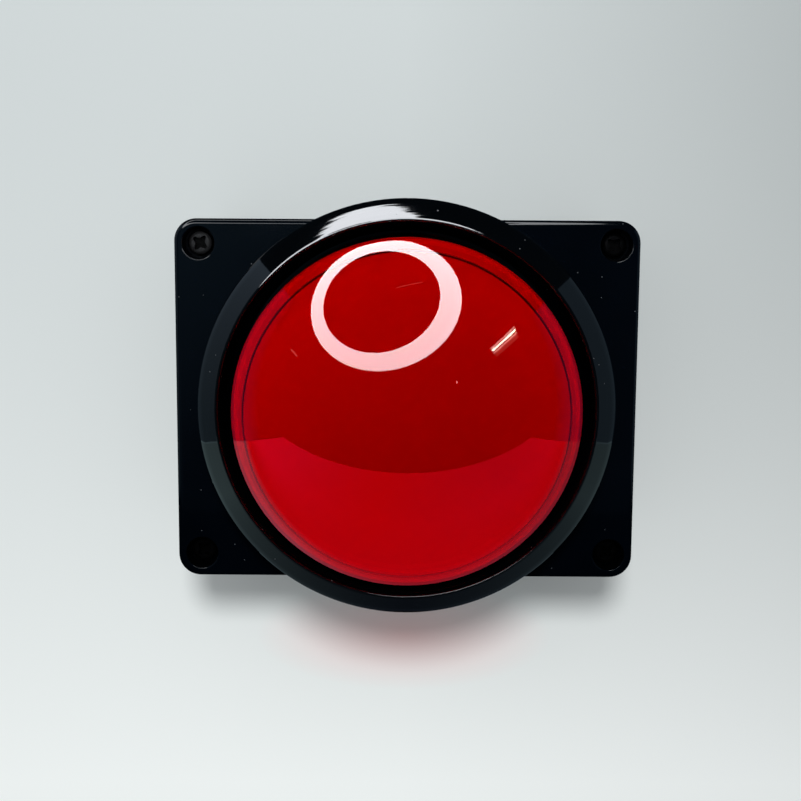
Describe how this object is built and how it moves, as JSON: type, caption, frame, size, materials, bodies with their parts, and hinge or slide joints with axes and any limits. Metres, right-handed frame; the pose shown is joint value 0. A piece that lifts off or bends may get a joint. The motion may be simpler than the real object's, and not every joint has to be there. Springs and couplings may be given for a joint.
{
  "type": "wireless push button",
  "caption": "Large red dome push button in a round black bezel on a black box, with a sprung plunger, snap switch, transmitter board and cells inside.",
  "frame": {"origin": "centre of the box's flat back face", "axes": "+Z out of the dome, against the press; +X along the box's long side; +Y along its short side"},
  "size_m": [0.115, 0.1, 0.0954],
  "materials": {
    "box_plastic": "moulded, satin gloss",
    "bezel_plastic": "moulded, polished",
    "seal_rubber": "soft cord",
    "black_steel": "blackened",
    "nut_plastic": "moulded, ribbed",
    "dome_red": "clear red, polished",
    "diffuser_red": "milky red",
    "plunger_plastic": "moulded",
    "spring_steel": "drawn wire",
    "holder_plastic": "moulded",
    "lamp_white": "milky",
    "switch_plastic": "moulded",
    "switch_pin_red": "moulded",
    "blade_brass": "stamped",
    "contact_steel": "stamped, plated",
    "board_green": "lacquered laminate",
    "screw_steel": "plated",
    "radio_can": "stamped shield",
    "chip_black": "moulded",
    "capacitor_sleeve": "shrunk sleeve",
    "aerial_copper": "drawn wire",
    "socket_white": "moulded",
    "tray_black": "moulded",
    "cell_sleeve": "printed sleeve, plain",
    "lead_red": "soft sleeve",
    "lead_black": "soft sleeve",
    "lead_yellow": "soft sleeve"
  },
  "bodies": {
    "housing": {"base_box": "box_plastic", "lid": "box_plastic", "lid_gasket": "seal_rubber", "lid_screws": "black_steel", "bezel": "bezel_plastic", "panel_nut": "nut_plastic", "return_spring": "spring_steel", "switch_holder": "holder_plastic", "led_lamp": "lamp_white", "lamp_blades": "blade_brass", "switch_body": "switch_plastic", "switch_blades": "blade_brass", "circuit_board": "board_green", "board_screws": "screw_steel", "radio_module": "radio_can", "control_chip": "chip_black", "capacitor": "capacitor_sleeve", "aerial_coil": "aerial_copper", "lead_sockets": "socket_white", "battery_tray": "tray_black", "cell_left": "cell_sleeve", "cell_right": "cell_sleeve", "battery_contacts": "contact_steel", "contact_spring_left": "spring_steel", "contact_spring_right": "spring_steel", "switch_leads": "lead_yellow", "lamp_lead_red": "lead_red", "lamp_lead_black": "lead_black", "battery_lead_red": "lead_red", "battery_lead_black": "lead_black"},
    "button": {"dome_lens": "dome_red", "diffuser": "diffuser_red", "plunger": "plunger_plastic"},
    "lever": {"switch_lever": "contact_steel"},
    "pin": {"switch_pin": "switch_pin_red"}
  },
  "joints": [
    {"name": "dome_press", "type": "slide", "parent": "housing", "child": "button", "axis": [0, 0, -1], "range_m": [0, 0.0035], "stiffness_N_per_m": 500, "springref_m": -0.005, "deforming": ["return_spring"]},
    {"name": "lever_tilt", "type": "hinge", "parent": "housing", "child": "lever", "pos_m": [-0.0105, 0, 0.0287], "axis": [0, 1, 0], "range_deg": [0, 11.5]},
    {"name": "pin_slide", "type": "slide", "parent": "housing", "child": "pin", "axis": [0, 0, -1], "range_m": [0, 0.00112]}
  ],
  "couplings": [
    {"joint": "lever_tilt", "follows": "dome_press", "rad_per_m": 56.5},
    {"joint": "pin_slide", "follows": "dome_press", "ratio": 0.31429}
  ]
}
